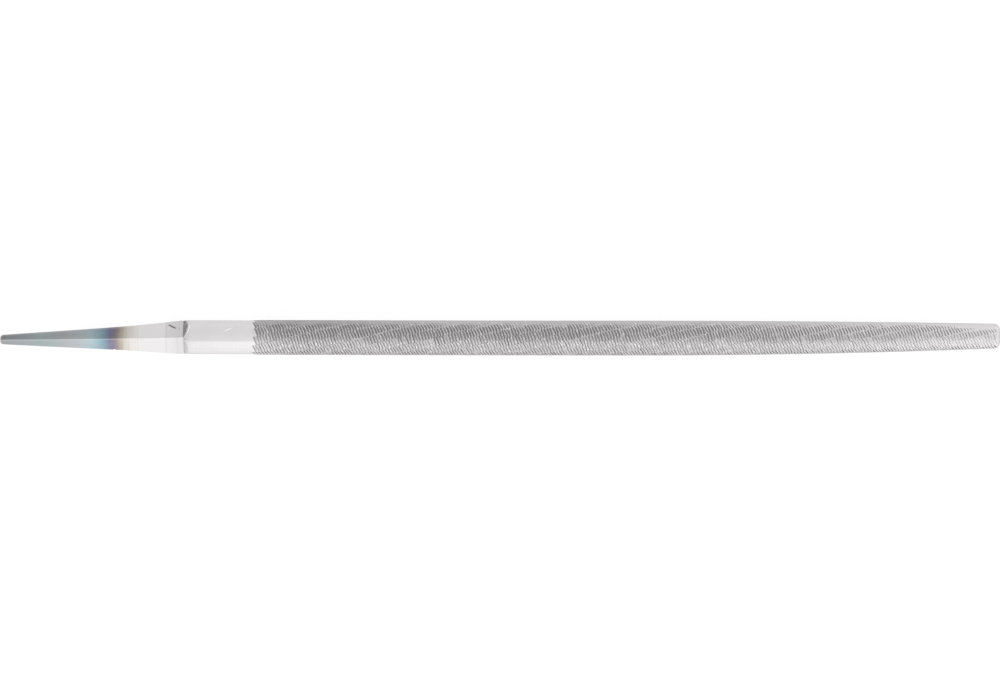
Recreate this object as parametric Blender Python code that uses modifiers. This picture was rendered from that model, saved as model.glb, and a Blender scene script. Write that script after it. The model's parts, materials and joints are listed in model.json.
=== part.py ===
"""A round workshop file with a bare tang, lying on a bench with its point towards +X.

The real file is one bar of steel. It is modelled in the six lengths that a toolmaker names: tang,
shoulder, heel, blade, taper and point. They meet face to face on one axis and stay rigid together.
Distances along the file are counted from where the tang's flats end, towards the point.
"""

import math

import bmesh
import bpy

# Lengths along the file, in metres
BLADE_LENGTH = 0.300
TANG_LENGTH = 0.0673
TANG_KNEE_TO_SHOULDER = 0.0170
SHOULDER_RUN = 0.0019
SHOULDER_LAND = 0.0010
HEEL_LENGTH = 0.0230
POINT_LENGTH = 0.0035

# The round section: the ground blank, and the cut blade whose teeth stand a little proud of it
BLANK_RADIUS = 0.00625
TOOTH_RAISE = 0.00017
TAPER_LENGTH = 0.134
POINT_END_RADIUS = 0.00452
POINT_EDGE_RADIUS = 0.0016

# The square tang, measured from its axis to its corners, which stop just under the bar's surface
TANG_END_HALF_DIAGONAL = 0.0018
TANG_END_ROUND = 0.0006
TANG_KNEE_HALF_DIAGONAL = 0.0048
TANG_CORNER_SINK = 0.00005
TANG_EDGE_RADIUS = 0.0003

# The chisel cuts the blade in courses, narrow bands that climb round it left-handed
COURSES = 12
COURSE_LEAD = 0.1596
COURSE_DEPTH = 0.00012
COURSE_TURN_AT_SHOULDER = math.radians(3.0)

# How finely curves are divided
ROUND_STEPS = 64
EDGE_STEPS = 5
CORNER_SEGMENTS = 3

# How far a cutter runs past what it cuts, and the reach within which points are one
CUT_OVERRUN = 0.005
MERGE_REACH = 0.00001

SHARP_ANGLE = math.radians(30.0)
TANG_EDGE_ANGLE = math.radians(80.0)
QUARTER_TURN = math.pi / 2
TANG_SIDES = 4

# What follows from the sizes above
CUT_RADIUS = BLANK_RADIUS + TOOTH_RAISE
HALF_COURSE = math.pi / COURSES
AXIS_HEIGHT = CUT_RADIUS * math.cos(HALF_COURSE / 2)
HEEL_START = SHOULDER_RUN + SHOULDER_LAND
BLADE_START = HEEL_START + HEEL_LENGTH
TAPER_START = BLADE_LENGTH - TAPER_LENGTH
POINT_START = BLADE_LENGTH - POINT_LENGTH
MIDDLE = (BLADE_LENGTH - TANG_LENGTH) / 2


def clear_scene():
    for old in list(bpy.data.objects):
        bpy.data.objects.remove(old, do_unlink=True)


def new_collection(name):
    collection = bpy.data.collections.new(name)
    bpy.context.scene.collection.children.link(collection)
    return collection


def steel(name, colour, roughness):
    material = bpy.data.materials.new(name)
    material.use_nodes = True
    shader = material.node_tree.nodes["Principled BSDF"]
    shader.inputs["Base Color"].default_value = (*colour, 1.0)
    shader.inputs["Metallic"].default_value = 1.0
    shader.inputs["Roughness"].default_value = roughness
    material.diffuse_color = (*colour, 1.0)
    return material


def new_part(name, mesh, collection, material):
    """An object of its own for a finished mesh, smooth but for its sharp edges."""
    mesh.name = name
    mesh.materials.clear()
    mesh.materials.append(material)
    mesh.shade_smooth()
    mesh.set_sharp_from_angle(angle=SHARP_ANGLE)
    part = bpy.data.objects.new(name, mesh)
    collection.objects.link(part)
    return part


def as_cutter(made):
    """A helper that shapes other pieces and is no part of the file itself."""
    made.hide_render = True
    made.display_type = "WIRE"
    return made


def evaluated_mesh(source):
    graph = bpy.context.evaluated_depsgraph_get()
    return bpy.data.meshes.new_from_object(source.evaluated_get(graph))


def turned(name, profile, collection, sides=ROUND_STEPS):
    """A lathe-turned solid: (distance, radius) pairs, from axis to axis, spun about the file's axis.
    With four sides it is a square bar that stands on its corners."""
    mesh = bpy.data.meshes.new(name)
    points = [(along, 0.0, radius) for along, radius in profile]
    mesh.from_pydata(points, [(i, i + 1) for i in range(len(points) - 1)], [])
    made = bpy.data.objects.new(name, mesh)
    collection.objects.link(made)
    screw = made.modifiers.new("turn", "SCREW")
    screw.axis = "X"
    screw.steps = sides
    screw.render_steps = sides
    screw.use_merge_vertices = True
    screw.merge_threshold = MERGE_REACH
    screw.use_normal_calculate = True
    screw.use_normal_flip = True
    return made


def quarter_round(radius):
    """The (distance, drop) steps of an edge rounded over, from its side to its end."""
    steps = []
    for step in range(EDGE_STEPS + 1):
        angle = QUARTER_TURN * step / EDGE_STEPS
        steps.append((radius * math.sin(angle), radius * (1.0 - math.cos(angle))))
    return steps


def tang_die(cutters):
    """The hollow of the forging die: a blunt end, the long taper, the steeper neck from the knee,
    and four slopes that run out through the bar's surface and make the shoulder."""
    rounded_end = [
        (-TANG_LENGTH + TANG_END_ROUND - reach, TANG_END_HALF_DIAGONAL - drop)
        for reach, drop in quarter_round(TANG_END_ROUND)
    ]
    corner_cut = TANG_EDGE_RADIUS * (math.sqrt(2.0) - 1.0)
    neck_end = BLANK_RADIUS - TANG_CORNER_SINK + corner_cut
    slope = (math.sqrt(2.0) * BLANK_RADIUS - neck_end) / SHOULDER_RUN
    past_bar = BLADE_START + 2 * CUT_OVERRUN
    profile = [(-TANG_LENGTH, 0.0), *reversed(rounded_end)]
    profile.append((-TANG_KNEE_TO_SHOULDER, TANG_KNEE_HALF_DIAGONAL))
    profile.append((0.0, neck_end))
    profile.append((past_bar, neck_end + slope * past_bar))
    profile.append((past_bar, 0.0))
    die = as_cutter(turned("tang_die", profile, cutters, sides=TANG_SIDES))
    bevel = die.modifiers.new("tang_edges", "BEVEL")
    bevel.width = TANG_EDGE_RADIUS
    bevel.segments = CORNER_SEGMENTS
    bevel.angle_limit = TANG_EDGE_ANGLE
    return die


def forged_blank(cutters):
    """The round bar with its tang drawn down by the die, from the tang's end to past the heel."""
    start = -TANG_LENGTH - CUT_OVERRUN
    end = BLADE_START + CUT_OVERRUN
    profile = [(start, 0.0), (start, BLANK_RADIUS), (end, BLANK_RADIUS), (end, 0.0)]
    bar = as_cutter(turned("round_bar", profile, cutters))
    forge = bar.modifiers.new("forge", "BOOLEAN")
    forge.operation = "INTERSECT"
    forge.object = tang_die(cutters)
    return evaluated_mesh(bar)


def stretch_of(blank, name, start, end, collection, material):
    """The blank between two distances, closed with a flat face where it is cut."""
    bm = bmesh.new()
    bm.from_mesh(blank)
    for along, outwards in ((start, -1.0), (end, 1.0)):
        bmesh.ops.bisect_plane(
            bm,
            geom=bm.verts[:] + bm.edges[:] + bm.faces[:],
            dist=MERGE_REACH,
            plane_co=(along, 0.0, 0.0),
            plane_no=(outwards, 0.0, 0.0),
            clear_outer=True,
        )
        rim = [edge for edge in bm.edges if edge.is_boundary]
        if rim:
            bmesh.ops.contextual_create(bm, geom=rim)
    bmesh.ops.recalc_face_normals(bm, faces=bm.faces)
    mesh = bpy.data.meshes.new(name)
    bm.to_mesh(mesh)
    bm.free()
    return new_part(name, mesh, collection, material)


def cut_radius_at(along):
    """The radius over the teeth: parallel from the heel, then a belly that curves in to the point."""
    into_taper = max(0.0, along - TAPER_START)
    return CUT_RADIUS - (CUT_RADIUS - POINT_END_RADIUS) * (into_taper / TAPER_LENGTH) ** 2


def turn_at(along):
    """How far the edge of a course has climbed round the bar, from the top towards +Y."""
    return COURSE_TURN_AT_SHOULDER + 2 * math.pi * along / COURSE_LEAD


def ring_places():
    """The distances of the cut length's rings: its two ends, and each half course of climb between.
    Neighbouring rings then hold their corners half a course apart, which makes the bar 24-sided
    underneath, with a flat turned down, so it lies still on a bench as a real file does."""
    half_courses_climbed = math.floor(turn_at(BLADE_START) / HALF_COURSE - 0.5)
    turn = (half_courses_climbed + 1.5) * HALF_COURSE
    places = [BLADE_START]
    while True:
        along = (turn - COURSE_TURN_AT_SHOULDER) * COURSE_LEAD / (2 * math.pi)
        if along > POINT_START - MERGE_REACH:
            break
        places.append(along)
        turn += HALF_COURSE
    return [*places, POINT_START]


def course_section(cutters):
    """The blade's section: high where two courses meet, lower along the middle of each course."""
    curve = bpy.data.curves.new("course_section", "CURVE")
    curve.dimensions = "2D"
    spline = curve.splines.new("POLY")
    spline.points.add(2 * COURSES - 1)
    for i, corner in enumerate(spline.points):
        angle = i * HALF_COURSE
        radius = CUT_RADIUS - COURSE_DEPTH * (i % 2)
        corner.co = (radius * math.cos(angle), radius * math.sin(angle), 0.0, 1.0)
    spline.use_cyclic_u = True
    section = bpy.data.objects.new("course_section", curve)
    cutters.objects.link(section)
    return as_cutter(section)


def cut_length(name, places, section, collection, material):
    """A stretch of the cut bar: the course section drawn through rings that turn and may taper. The
    cut starts flush with the heel, because the first teeth are raised from the heel's own surface."""
    path = bpy.data.curves.new(name, "CURVE")
    path.dimensions = "3D"
    path.bevel_mode = "OBJECT"
    path.bevel_object = section
    path.use_fill_caps = True
    spline = path.splines.new("POLY")
    spline.points.add(len(places) - 1)
    for ring, along in zip(spline.points, places):
        radius = BLANK_RADIUS if along == BLADE_START else cut_radius_at(along)
        ring.co = (along, 0.0, 0.0, 1.0)
        ring.radius = radius / CUT_RADIUS
        ring.tilt = -turn_at(along)
    drawn = bpy.data.objects.new(name, path)
    collection.objects.link(drawn)
    mesh = evaluated_mesh(drawn)
    bpy.data.objects.remove(drawn)
    bm = bmesh.new()
    bm.from_mesh(mesh)
    bmesh.ops.remove_doubles(bm, verts=bm.verts, dist=MERGE_REACH)
    bmesh.ops.recalc_face_normals(bm, faces=bm.faces)
    bm.to_mesh(mesh)
    bm.free()
    return new_part(name, mesh, collection, material)


def point(cutters, collection, material):
    """The uncut end of the blade, with its rim rounded over."""
    rim = [
        (BLADE_LENGTH - POINT_EDGE_RADIUS + reach, POINT_END_RADIUS - drop)
        for reach, drop in quarter_round(POINT_EDGE_RADIUS)
    ]
    start = (POINT_START, cut_radius_at(POINT_START))
    profile = [(POINT_START, 0.0), start, *rim, (BLADE_LENGTH, 0.0)]
    spun = turned("point_profile", profile, cutters)
    mesh = evaluated_mesh(spun)
    bpy.data.objects.remove(spun)
    return new_part("point", mesh, collection, material)


def main():
    clear_scene()
    parts = new_collection("round_file")
    cutters = new_collection("cutters")
    tempered = steel("tempered_steel", (0.46, 0.48, 0.49), 0.30)
    ground = steel("ground_steel", (0.78, 0.77, 0.77), 0.22)
    toothed = steel("toothed_steel", (0.60, 0.59, 0.59), 0.35)

    blank = forged_blank(cutters)
    section = course_section(cutters)
    places = ring_places()
    split = next(i for i, along in enumerate(places) if along > TAPER_START)
    pieces = [
        stretch_of(blank, "tang", -TANG_LENGTH, 0.0, parts, tempered),
        stretch_of(blank, "shoulder", 0.0, HEEL_START, parts, ground),
        stretch_of(blank, "heel", HEEL_START, BLADE_START, parts, ground),
        cut_length("blade", places[: split + 1], section, parts, toothed),
        cut_length("taper", places[split:], section, parts, toothed),
        point(cutters, parts, ground),
    ]

    axis = bpy.data.objects.new("file_axis", None)
    axis.location = (-MIDDLE, 0.0, AXIS_HEIGHT)
    parts.objects.link(axis)
    for piece in pieces:
        piece.parent = axis


main()
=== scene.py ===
# %% [markdown]
# # A round file, dressed for its photograph
#
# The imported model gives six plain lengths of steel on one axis: tang, shoulder, heel, blade, taper
# and point. This notebook builds a fuller skin for each of them, with the forged flats, the rounded
# edges and every chisel cut, and then gives each its finish, its light and its camera.
#
# The file lies along X with its point towards +X, on a floor at Z = 0, and all lengths are metres.
# +Y is up in the picture, so that side of the bar is called the head side, and -Y the foot side.

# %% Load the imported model
import json
import math

import bpy
import numpy as np
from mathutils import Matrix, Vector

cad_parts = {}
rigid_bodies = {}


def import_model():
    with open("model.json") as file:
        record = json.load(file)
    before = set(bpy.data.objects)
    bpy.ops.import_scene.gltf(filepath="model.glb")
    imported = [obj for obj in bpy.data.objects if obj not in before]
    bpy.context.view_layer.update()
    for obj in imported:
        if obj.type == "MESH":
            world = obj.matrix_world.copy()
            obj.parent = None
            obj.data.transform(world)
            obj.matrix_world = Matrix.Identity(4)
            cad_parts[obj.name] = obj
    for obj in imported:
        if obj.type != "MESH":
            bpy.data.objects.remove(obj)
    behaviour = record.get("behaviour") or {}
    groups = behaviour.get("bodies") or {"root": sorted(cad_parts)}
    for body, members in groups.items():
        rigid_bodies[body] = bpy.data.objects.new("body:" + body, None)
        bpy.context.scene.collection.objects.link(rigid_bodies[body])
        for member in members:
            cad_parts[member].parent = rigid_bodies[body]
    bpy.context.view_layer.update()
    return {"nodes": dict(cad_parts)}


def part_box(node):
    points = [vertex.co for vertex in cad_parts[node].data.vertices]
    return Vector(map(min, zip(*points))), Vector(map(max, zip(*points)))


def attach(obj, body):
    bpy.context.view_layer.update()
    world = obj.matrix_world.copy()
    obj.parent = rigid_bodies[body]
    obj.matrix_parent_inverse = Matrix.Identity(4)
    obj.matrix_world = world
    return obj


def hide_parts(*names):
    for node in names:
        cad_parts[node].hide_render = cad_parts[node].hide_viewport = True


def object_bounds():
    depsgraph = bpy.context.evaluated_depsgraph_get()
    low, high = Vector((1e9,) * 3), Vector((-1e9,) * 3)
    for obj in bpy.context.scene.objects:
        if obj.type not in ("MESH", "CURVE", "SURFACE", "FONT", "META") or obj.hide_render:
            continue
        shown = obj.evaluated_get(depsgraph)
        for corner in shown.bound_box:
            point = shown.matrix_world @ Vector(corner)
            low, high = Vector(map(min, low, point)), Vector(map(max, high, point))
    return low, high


for old in list(bpy.data.objects):
    bpy.data.objects.remove(old)
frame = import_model()
print("lengths:", sorted(frame["nodes"]))

# %% [markdown]
# ## Where each length begins
#
# Every place along the file comes from the solids, so the skins can't drift away from them. The
# shoulder's left face is where the tang ends, and a maker measures the file from there.

# %% Read the places from the solids
MM = 0.001

tang_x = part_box("tang")[0].x
shoulder_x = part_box("shoulder")[0].x
heel_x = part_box("heel")[0].x
blade_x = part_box("blade")[0].x
taper_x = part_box("taper")[0].x
point_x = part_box("point")[0].x
tip_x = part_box("point")[1].x

heel_low, heel_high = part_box("heel")
blade_low, blade_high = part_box("blade")
bar_radius = (heel_high.y - heel_low.y) / 2
axis_height = (blade_low.z + blade_high.z) / 2
tang_length = shoulder_x - tang_x
blade_length = tip_x - shoulder_x
for name, value in (("tang", tang_length), ("blade", blade_length), ("bar radius", bar_radius)):
    print(f"{name}: {1000 * value:.2f} mm")

# %% [markdown]
# Shapes and wear are easier to give as shares of a length than as places. The bar starts to curve in
# a little before the taper's solid begins, so the curve has a length of its own.

# %% How far along the blade and the curve a place is
CURVE_LENGTH = 134 * MM

curve_x = tip_x - CURVE_LENGTH


def along_blade(x):
    """Nothing at the shoulder and behind it, one at the end of the point."""
    return np.clip((x - shoulder_x) / blade_length, 0.0, 1.0)


def along_curve(x):
    """Nothing up to where the bar starts to curve in, one at the end of the point."""
    return np.clip((x - curve_x) / CURVE_LENGTH, 0.0, 1.0)


print("the curve starts", round(1000 * (taper_x - curve_x), 1), "mm before the taper's solid")

# %% [markdown]
# ## The line of the bar
#
# A hardened file is never quite straight, because it warps a little in the quench. This one's point
# leans towards the head side and its tang towards the foot side, each by less than a millimetre,
# with a slight bow between. The solids stay straight, as the maker would draw them, and the skins
# carry the lean.

# %% Lean of the centre line
TANG_LEAN = -0.91 * MM
TANG_CURL = 0.63
HEEL_LEAN = 0.22 * MM
POINT_LEAN = 0.60 * MM
BOW = 0.19 * MM


def lean_at(x):
    """How far the centre line stands off the straight axis, towards the head side."""
    down_tang = np.clip((shoulder_x - x) / tang_length, 0.0, 1.0)
    bow = HEEL_LEAN * (1.0 - along_blade(x)) ** 2 - BOW * np.sin(math.pi * along_blade(x))
    return TANG_LEAN * down_tang**TANG_CURL + bow + POINT_LEAN * along_curve(x) ** 2


for name, x in (("tang's end", tang_x), ("shoulder", shoulder_x), ("point", tip_x)):
    print(f"lean at the {name}: {1000 * float(lean_at(x)):.2f} mm")

# %% [markdown]
# ## Wrapping a skin
#
# Each length is a tube round the axis, so a few helpers make them all. A grid of distances, angles
# and radii gives the points, neighbours are joined by four-sided faces, and both ends are closed to
# the axis, so that the mesh is watertight. A lathe modifier would do for the plain lengths, but not
# for teeth that follow their own lines, so the grid is worked out with numpy.


# %% Points on the bar
def on_bar(x, angle, radius):
    """Points at these distances, at angles counted from the top towards +Y, and radii."""
    x, angle, radius = np.broadcast_arrays(x, angle, radius)
    y = radius * np.sin(angle) + lean_at(x)
    z = radius * np.cos(angle) + axis_height
    return np.stack([x, y, z], axis=-1).reshape(-1, 3)


print("top of the bar at the shoulder:", np.round(on_bar(shoulder_x, 0.0, bar_radius)[0], 4))


# %% Faces between rings of points
def started_later(ring):
    """The same ring, counted from its second point."""
    return [*ring[1:], ring[0]]


def band_faces(ring, next_ring):
    """Four-sided faces between two rings with as many points."""
    return list(zip(ring, next_ring, started_later(next_ring), started_later(ring)))


def cap_faces(ring, centre, towards_point):
    """Three-sided faces from a ring to a point on the axis."""
    pairs = zip(ring, started_later(ring))
    if towards_point:
        return [(a, centre, b) for a, b in pairs]
    return [(b, centre, a) for a, b in pairs]


print("faces between two rings of three points:", band_faces([0, 1, 2], [3, 4, 5]))


# %% [markdown]
# A piece is more than its mesh. It rides on the file's body, hides the solid it stands for, and carries
# its marks: one number at each point, such as how deep in a groove the point lies, which its finish
# reads later. The middles of a tube's two ends get full marks.

# %% A piece from points and faces
SHARP_ANGLE = math.radians(38.0)
END_MARKS = (1.0, 1.0)


def new_piece(name, points, faces, node, marks):
    """A mesh object that rides on the file and stands in for one solid, which it hides."""
    mesh = bpy.data.meshes.new(name)
    mesh.from_pydata(points.tolist(), [], faces)
    mesh.validate()
    for mark, values in marks.items():
        layer = mesh.attributes.new(mark, "FLOAT", "POINT")
        layer.data.foreach_set("value", np.asarray(values, np.float32))
    mesh.shade_smooth()
    mesh.set_sharp_from_angle(angle=SHARP_ANGLE)
    piece = bpy.data.objects.new(name, mesh)
    bpy.context.scene.collection.objects.link(piece)
    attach(piece, "root")
    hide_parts(node)
    print(f"{name}: {len(mesh.vertices)} points, {len(mesh.polygons)} faces")
    return piece


def tube(name, x, angle, radius, node, marks):
    """A closed skin over a full grid, with x down its rows and angle round its columns."""
    points = on_bar(x[:, None], angle[None, :], radius)
    rings = np.arange(radius.size).reshape(radius.shape).tolist()
    faces = []
    for ring, next_ring in zip(rings, rings[1:]):
        faces += band_faces(ring, next_ring)
    faces += cap_faces(rings[0], len(points), False)
    faces += cap_faces(rings[-1], len(points) + 1, True)
    points = np.vstack([points, on_bar(x[[0, -1]], 0.0, 0.0)])
    marks = {mark: np.append(values.ravel(), END_MARKS) for mark, values in marks.items()}
    return new_piece(name, points, faces, node, marks)


# %% [markdown]
# ## The forged tang and its shoulder
#
# The smith draws the round bar down between flat dies until it is a square spike that stands on its
# corners. The section is then the smaller of two outlines, the round bar and the square die, and
# their edges are blended as far as real forging blurs them. The same rule gives the shoulder: there
# the four flats of the die slope outwards and run out through the bar, which leaves four crescents.

# %% The width of the die along the tang
END_HALF = 1.76 * MM
WAIST_HALF = 4.34 * MM
KNEE_HALF = 4.79 * MM
PRESS_HALF = 5.72 * MM
NECK_HALF = bar_radius + 0.12 * MM
WAIST_BACK = 23.3 * MM
KNEE_BACK = 17.0 * MM
PRESS_BACK = 6.2 * MM
SHOULDER_START = 0.22 * MM
SHOULDER_RUN = 1.75 * MM


def die_half(x):
    """Half the die's width from corner to corner, at distances from the tang's end to the heel."""
    places = [tang_x, *(shoulder_x - back for back in (WAIST_BACK, KNEE_BACK, PRESS_BACK, 0.0))]
    halves = [END_HALF, WAIST_HALF, KNEE_HALF, PRESS_HALF, NECK_HALF]
    run_out = np.clip((x - shoulder_x - SHOULDER_START) / SHOULDER_RUN, 0.0, None)
    return np.interp(x, places, halves) + run_out * (math.sqrt(2) * bar_radius - NECK_HALF)


print("half diagonal at the knee:", round(1000 * float(die_half(shoulder_x - KNEE_BACK)), 2), "mm")

# %% The section of square die and round bar
QUARTER = math.pi / 2


def soft_least(a, b, blur):
    """The smaller of two lengths, with the corner between them rounded."""
    share = np.clip(0.5 + 0.5 * (b - a) / blur, 0.0, 1.0)
    return b * (1.0 - share) + a * share - blur * share * (1.0 - share)


def die_flats(x, angle):
    """Radii of the die's nearest flat and the one after it, over distances and angles."""
    from_middle = np.abs(np.mod(angle, QUARTER) - QUARTER / 2)
    flat = (die_half(x) / math.sqrt(2))[:, None]
    return flat / np.cos(from_middle)[None, :], flat / np.cos(QUARTER - from_middle)[None, :]


def forged_radius(x, angle, blur):
    """The blend of the square die and the round bar, as a grid over distances and angles."""
    nearest, after = die_flats(x, angle)
    return soft_least(soft_least(nearest, after, blur), bar_radius, blur)


end_flat = die_flats(np.array([tang_x]), np.array([QUARTER / 2]))[0]
print("across the flats at the tang's end:", round(2000 * float(end_flat.max()), 2), "mm")

# %% [markdown]
# At the shoulder the die has bitten a little below the round bar, most at the two side corners. These
# dents join the crescents to the bar's outline. Each is widest in degrees round the bar, fades out
# along it, and has a twin on the opposite side.

# %% Where the die bit into the corners
SIDE_BITE = {"turn": 90.0, "depth": 0.24 * MM, "width": 18.0, "run": 1.4 * MM}
RIDGE_BITE = {"turn": -3.0, "depth": 0.12 * MM, "width": 4.0, "run": 2.2 * MM}
BITE_START = 0.5 * MM


def bell(distance, width):
    """One in the middle, and almost nothing at twice the width from it."""
    return np.exp(-((distance / width) ** 2))


def bite(x, angle, turn, depth, width, run):
    """How deep one pair of dents is, at degrees from the top and on the opposite side."""
    off_middle = np.mod(np.degrees(angle) - turn + 90.0, 180.0) - 90.0
    along = np.clip((x - shoulder_x) / np.where(x < shoulder_x, BITE_START, run), -1.0, 1.0)
    share = 0.5 + 0.5 * np.cos(math.pi * along)
    return depth * share[:, None] * bell(off_middle, width)[None, :]


def bitten(x, angle):
    """How far the corners lie below the bar on both sides of the shoulder's left face."""
    return bite(x, angle, **SIDE_BITE) + bite(x, angle, **RIDGE_BITE)


at_corner = bitten(np.array([shoulder_x]), np.array([QUARTER]))
print("deepest bite:", round(1000 * float(at_corner.max()), 2), "mm")

# %% [markdown]
# A nick crosses one of the tang's flats beside the shoulder, where something hard once caught it, with
# a dot in line with it, and two chips are missing from the corner on the foot side. They could be
# painted on, but a real dent also catches the light, so they are in the mesh.
#
# A nick runs between two ends, each written as how far it lies back from the shoulder and how far off
# the axis.

# %% Nicks and chips
NICK = ((5.60 * MM, 4.84 * MM), (2.55 * MM, 3.20 * MM))
NICK_DOT = ((1.45 * MM, 3.12 * MM), (1.40 * MM, 2.90 * MM))
NICK_DEPTH = 0.13 * MM
STREAK_WIDTH = 0.22 * MM
STREAK_ENDS = (0.04, 0.96)
STREAK_FULLNESS = 1.6
CHIPS_BACK = (25.3 * MM, 21.5 * MM)
CHIP_LENGTH = 0.30 * MM
CHIP_WIDTH = 7.0
CHIP_DEPTH = 0.27 * MM


def streak(x, angle, radius, ends):
    """One along the middle of a short streak on the upper side, fading out at its sides and ends."""
    start, end = (np.array([shoulder_x - back, off_axis]) for back, off_axis in ends)
    spot = np.stack(np.broadcast_arrays(x[:, None], radius * np.sin(angle)), axis=-1)
    line = end - start
    reach = np.clip((spot - start) @ line / (line @ line), 0.0, 1.0)
    miss = np.linalg.norm(spot - start - reach[..., None] * line, axis=-1)
    swell = np.sin(math.pi * np.clip(reach, *STREAK_ENDS)) * STREAK_FULLNESS
    on_top = np.cos(angle)[None, :] > 0
    return bell(miss, STREAK_WIDTH) * np.sqrt(np.clip(swell, 0.0, 1.0)) * on_top


def chipped(x, angle):
    """One in the middle of each chip on the corner of the foot side."""
    off_corner = np.mod(np.degrees(angle) - 90.0, 360.0) - 180.0
    along = sum(bell(x - shoulder_x + back, CHIP_LENGTH) for back in CHIPS_BACK)
    return along[:, None] * bell(off_corner, CHIP_WIDTH)[None, :]


print("nick:", round(1000 * math.dist(*NICK), 2), "mm long")

# %% [markdown]
# The rows of the tang's grid are drawn closer together where the nick and the chips are, and over the
# rounded edge of its blunt end.

# %% Rows and columns of the tang
AROUND = 320
END_ROUND = 1.2 * MM
END_ROWS = 8
CHIP_ROOM = 4.0 * MM
STRETCH_ROWS = (50, 50, 24, 66)

round_angles = np.arange(AROUND) * 2 * math.pi / AROUND
stretch_backs = (WAIST_BACK + CHIP_ROOM, KNEE_BACK, PRESS_BACK, 0.0)
stretch_ends = [tang_x + END_ROUND, *(shoulder_x - back for back in stretch_backs)]
tang_rows = [tang_x + END_ROUND * (1.0 - np.cos(np.linspace(0.0, QUARTER, END_ROWS)))]
for start, end, rows in zip(stretch_ends, stretch_ends[1:], STRETCH_ROWS):
    tang_rows.append(np.linspace(start, end, rows)[1:])
tang_rows = np.concatenate(tang_rows)
print("rows along the tang:", len(tang_rows))


# %% The tang's radii
EDGE_BLUR = 0.30 * MM


def rounded_end(x, start, reach):
    """How much a tube shrinks so that its first end is rounded over."""
    share = np.clip((start + reach - x) / reach, 0.0, 1.0)
    return reach * (1.0 - np.sqrt(1.0 - share**2))


tang_radius = forged_radius(tang_rows, round_angles, EDGE_BLUR)
tang_radius = tang_radius - rounded_end(tang_rows, tang_x, END_ROUND)[:, None]
tang_radius = tang_radius - bitten(tang_rows, round_angles)
print("thickest corner:", round(1000 * float(tang_radius.max()), 2), "mm from the axis")

# %% [markdown]
# Three marks go with the tang for its finish: the nick, which is dark inside, the head side, whose
# flats are painted darker as shade, and a line beside each ridge, which gets a painted highlight.

# %% The tang
SIDE_BLUR = 0.06
RIDGE_WIDTH = 0.26 * MM
RIDGE_SIDE = -0.32 * MM

nick, dot = (streak(tang_rows, round_angles, tang_radius, ends) for ends in (NICK, NICK_DOT))
nick = np.maximum(nick, dot)
head_side = np.clip(0.5 + np.sin(round_angles) / (2 * SIDE_BLUR), 0.0, 1.0)
head_side = np.broadcast_to(head_side, tang_radius.shape)
from_ridge = np.mod(round_angles + QUARTER / 2, QUARTER) - QUARTER / 2
ridge = bell(from_ridge[None, :] * tang_radius - RIDGE_SIDE, RIDGE_WIDTH)
tang = tube(
    "tang_forged",
    tang_rows,
    round_angles,
    tang_radius - NICK_DEPTH * nick - CHIP_DEPTH * chipped(tang_rows, round_angles),
    "tang",
    {"nick": nick, "head_side": head_side, "ridge": ridge},
)

# %% [markdown]
# The shoulder uses the same die and the same bites. Its finish needs to know where the crescents are,
# which is wherever the die went below the bar, and where their rim gets a painted highlight, just past
# the place at which the die left the bar.

# %% The shoulder
SHOULDER_ROWS = 60
SHOULDER_BLUR = 0.34 * MM
SLOPE_FADE = 0.3 * MM
RIM_PAST = 0.40 * MM
RIM_SPREAD = 0.27 * MM

shoulder_rows = np.linspace(shoulder_x, heel_x, SHOULDER_ROWS)
run_out = np.clip((shoulder_rows - shoulder_x) / SHOULDER_RUN, 0.0, 1.0)
shoulder_blur = EDGE_BLUR + (SHOULDER_BLUR - EDGE_BLUR) * run_out
shoulder_radius = forged_radius(shoulder_rows, round_angles, shoulder_blur[:, None])
shoulder_radius = shoulder_radius - bitten(shoulder_rows, round_angles)
past_die = die_flats(shoulder_rows, round_angles)[0] - bar_radius
slope = np.clip((bar_radius - shoulder_radius) / SLOPE_FADE, 0.0, 1.0)
# The rim just past the die gets a painted highlight, kept as a mark.
shoulder = tube(
    "shoulder_slopes",
    shoulder_rows,
    round_angles,
    shoulder_radius,
    "shoulder",
    {"slope": slope, "burnish": bell(past_die - RIM_PAST, RIM_SPREAD)},
)

# %% [markdown]
# ## The ground heel
#
# Between the shoulder and the first tooth the bar is ground bright and left uncut. It is a plain
# turned length, and what shows on it comes from its finish, with one pale fleck, a painted highlight,
# as its only mark. The first cuts of some courses start a little early, so the teeth begin that much
# before their solid does, and the heel's skin ends there.

# %% The heel
HEEL_ROWS = 90
EARLY_CUTS = 0.6 * MM
FLECK = ((-15.3 * MM, 2.30 * MM), (-17.9 * MM, 3.30 * MM))
FLECK_SHARE = 0.7

cut_x = blade_x - EARLY_CUTS
heel_rows = np.linspace(heel_x, cut_x, HEEL_ROWS)
heel_radius = np.full((HEEL_ROWS, AROUND), bar_radius)
# The fleck is a painted highlight, kept as a mark.
heel = tube(
    "heel_ground",
    heel_rows,
    round_angles,
    heel_radius,
    "heel",
    {"burnish": FLECK_SHARE * streak(heel_rows, round_angles, heel_radius, FLECK)},
)

# %% [markdown]
# ## The teeth
#
# A round file is cut in courses. The chisel has a straight edge, so one blow marks only a narrow
# stretch of the round bar, and a row of blows makes a band of short parallel teeth. The bar is then
# turned a little and the next band is cut beside it, until the bands close round the bar. Here the
# bands climb round it as they go, once in 159.6 mm.
#
# The teeth could be a bump in the material, but they show on the outline and catch the light, so
# they are real. A plain grid would need very many points to hold their sharp crests. Instead the
# rows of the grid follow the teeth: seven rows a tooth, in the groove, up the back, over the land and
# down the steep face.

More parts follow.
